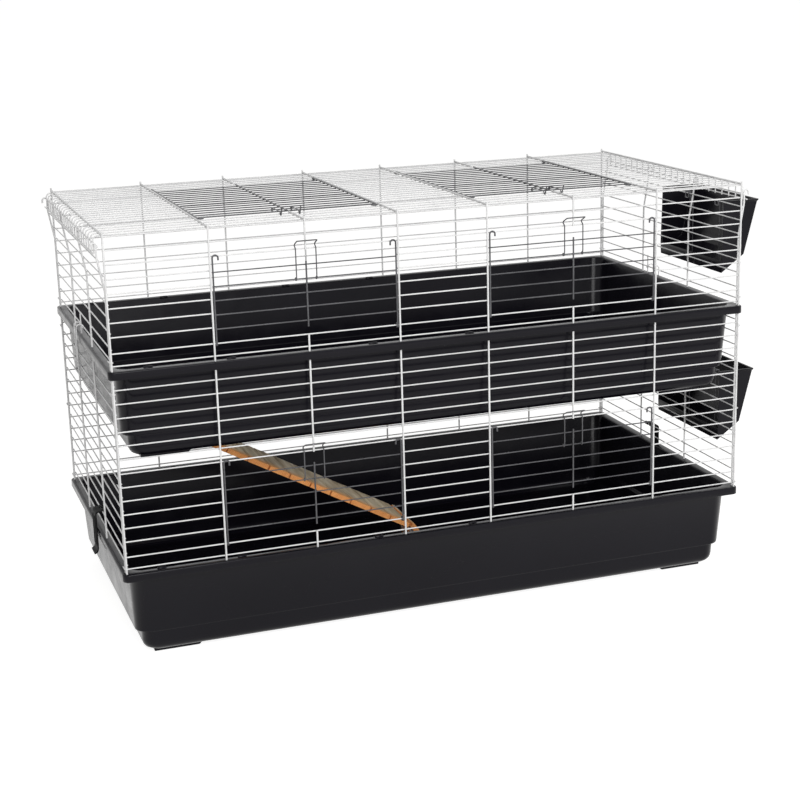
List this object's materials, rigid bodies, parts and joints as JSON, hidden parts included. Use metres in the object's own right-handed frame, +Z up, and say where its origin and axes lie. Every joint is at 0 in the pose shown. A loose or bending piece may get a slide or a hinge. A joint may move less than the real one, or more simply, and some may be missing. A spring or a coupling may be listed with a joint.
{
  "type": "rabbit cage",
  "caption": "Two-storey wire rabbit cage on moulded trays, with hinged front and roof doors, wire latches, end clips, hay racks and a slatted ramp.",
  "frame": {"origin": "middle of the whole object's footprint on the floor, hay racks and latches included", "axes": "+X along the length towards the hay racks, -Y the front with the doors, +Z up"},
  "size_m": [1.2902, 0.6056, 0.7711],
  "materials": {
    "black_plastic": "moulded, satin with a fine grain",
    "white_wire": "powder coated, smooth",
    "clip_wire": "coated, smooth",
    "black_wire": "powder coated, satin",
    "ramp_wood": "bare planks"
  },
  "bodies": {
    "base": {"base_tray": "black_plastic"},
    "lower_cage": {"lower_front_panel": "white_wire", "lower_rear_panel": "white_wire", "lower_left_panel": "white_wire", "lower_right_panel": "white_wire", "lower_corner_hooks": "white_wire"},
    "middle_tray": {"middle_tray": "black_plastic", "ramp_bar": "clip_wire"},
    "upper_cage": {"upper_front_panel": "white_wire", "upper_rear_panel": "white_wire", "upper_left_panel": "white_wire", "upper_right_panel": "white_wire", "upper_corner_hooks": "white_wire", "roof_panel": "white_wire"},
    "ramp": {"ramp_slats": "ramp_wood", "ramp_wires": "clip_wire"},
    "rack_lower": {"hay_rack_lower": "black_plastic", "rack_hooks_lower": "black_wire"},
    "rack_upper": {"hay_rack_upper": "black_plastic", "rack_hooks_upper": "black_wire"},
    "lower_door_left": {"lower_door_left": "black_wire"},
    "lower_latch_left": {"lower_latch_left": "black_wire"},
    "lower_door_right": {"lower_door_right": "black_wire"},
    "lower_latch_right": {"lower_latch_right": "black_wire"},
    "upper_door_left": {"upper_door_left": "black_wire"},
    "upper_latch_left": {"upper_latch_left": "black_wire"},
    "upper_door_right": {"upper_door_right": "black_wire"},
    "upper_latch_right": {"upper_latch_right": "black_wire"},
    "roof_door_left": {"roof_door_left": "black_wire"},
    "roof_latch_left": {"roof_latch_left": "black_wire"},
    "roof_door_right": {"roof_door_right": "black_wire"},
    "roof_latch_right": {"roof_latch_right": "black_wire"},
    "base_clip_left": {"base_clip_left": "black_plastic"},
    "tray_clip_left": {"tray_clip_left": "clip_wire"},
    "base_clip_right": {"base_clip_right": "black_plastic"},
    "tray_clip_right": {"tray_clip_right": "clip_wire"}
  },
  "joints": [
    {"name": "lower_cage_lift", "type": "slide", "parent": "base", "child": "lower_cage", "axis": [0, 0, 1], "range_m": [0, 0.2]},
    {"name": "middle_tray_lift", "type": "slide", "parent": "lower_cage", "child": "middle_tray", "axis": [0, 0, 1], "range_m": [0, 0.4]},
    {"name": "upper_cage_lift", "type": "slide", "parent": "middle_tray", "child": "upper_cage", "axis": [0, 0, 1], "range_m": [0, 0.1]},
    {"name": "ramp_hinge", "type": "hinge", "parent": "middle_tray", "child": "ramp", "pos_m": [-0.5154, 0.00783, 0.37315], "axis": [0, -1, 0], "range_deg": [0, 15]},
    {"name": "rack_lower_unhook", "type": "slide", "parent": "lower_cage", "child": "rack_lower", "axis": [0, 0, 1], "range_m": [0, 0.01]},
    {"name": "rack_upper_unhook", "type": "slide", "parent": "upper_cage", "child": "rack_upper", "axis": [0, 0, 1], "range_m": [0, 0.01]},
    {"name": "lower_door_left_hinge", "type": "hinge", "parent": "lower_cage", "child": "lower_door_left", "pos_m": [-0.28153, -0.28723, 0.1995], "axis": [1, 0, 0], "range_deg": [0, 140]},
    {"name": "lower_latch_left_pivot", "type": "hinge", "parent": "lower_door_left", "child": "lower_latch_left", "pos_m": [-0.28153, -0.28773, 0.2974], "axis": [1, 0, 0], "range_deg": [0, 45]},
    {"name": "lower_door_right_hinge", "type": "hinge", "parent": "lower_cage", "child": "lower_door_right", "pos_m": [0.21873, -0.28723, 0.1995], "axis": [1, 0, 0], "range_deg": [0, 140]},
    {"name": "lower_latch_right_pivot", "type": "hinge", "parent": "lower_door_right", "child": "lower_latch_right", "pos_m": [0.21873, -0.28773, 0.2974], "axis": [1, 0, 0], "range_deg": [0, 45]},
    {"name": "upper_door_left_hinge", "type": "hinge", "parent": "upper_cage", "child": "upper_door_left", "pos_m": [-0.28153, -0.28723, 0.5585], "axis": [1, 0, 0], "range_deg": [0, 140]},
    {"name": "upper_latch_left_pivot", "type": "hinge", "parent": "upper_door_left", "child": "upper_latch_left", "pos_m": [-0.28153, -0.28773, 0.6564], "axis": [1, 0, 0], "range_deg": [0, 45]},
    {"name": "upper_door_right_hinge", "type": "hinge", "parent": "upper_cage", "child": "upper_door_right", "pos_m": [0.21873, -0.28723, 0.5585], "axis": [1, 0, 0], "range_deg": [0, 140]},
    {"name": "upper_latch_right_pivot", "type": "hinge", "parent": "upper_door_right", "child": "upper_latch_right", "pos_m": [0.21873, -0.28773, 0.6564], "axis": [1, 0, 0], "range_deg": [0, 45]},
    {"name": "roof_door_left_hinge", "type": "hinge", "parent": "upper_cage", "child": "roof_door_left", "pos_m": [-0.28153, 0.20283, 0.75555], "axis": [-1, 0, 0], "range_deg": [0, 130]},
    {"name": "roof_latch_left_pivot", "type": "hinge", "parent": "roof_door_left", "child": "roof_latch_left", "pos_m": [-0.28153, -0.14718, 0.75605], "axis": [-1, 0, 0], "range_deg": [0, 45]},
    {"name": "roof_door_right_hinge", "type": "hinge", "parent": "upper_cage", "child": "roof_door_right", "pos_m": [0.21873, 0.20283, 0.75555], "axis": [-1, 0, 0], "range_deg": [0, 130]},
    {"name": "roof_latch_right_pivot", "type": "hinge", "parent": "roof_door_right", "child": "roof_latch_right", "pos_m": [0.21873, -0.14718, 0.75605], "axis": [-1, 0, 0], "range_deg": [0, 45]},
    {"name": "base_clip_left_pivot", "type": "hinge", "parent": "lower_cage", "child": "base_clip_left", "pos_m": [-0.62145, -0.02718, 0.2055], "axis": [0, 1, 0], "range_deg": [0, 90]},
    {"name": "tray_clip_left_pivot", "type": "hinge", "parent": "upper_cage", "child": "tray_clip_left", "pos_m": [-0.62145, 0.03283, 0.543], "axis": [0, 1, 0], "range_deg": [0, 75]},
    {"name": "base_clip_right_pivot", "type": "hinge", "parent": "lower_cage", "child": "base_clip_right", "pos_m": [0.55865, 0.05482, 0.2055], "axis": [0, -1, 0], "range_deg": [0, 90]},
    {"name": "tray_clip_right_pivot", "type": "hinge", "parent": "upper_cage", "child": "tray_clip_right", "pos_m": [0.55865, 0.05883, 0.543], "axis": [0, -1, 0], "range_deg": [0, 75]}
  ]
}
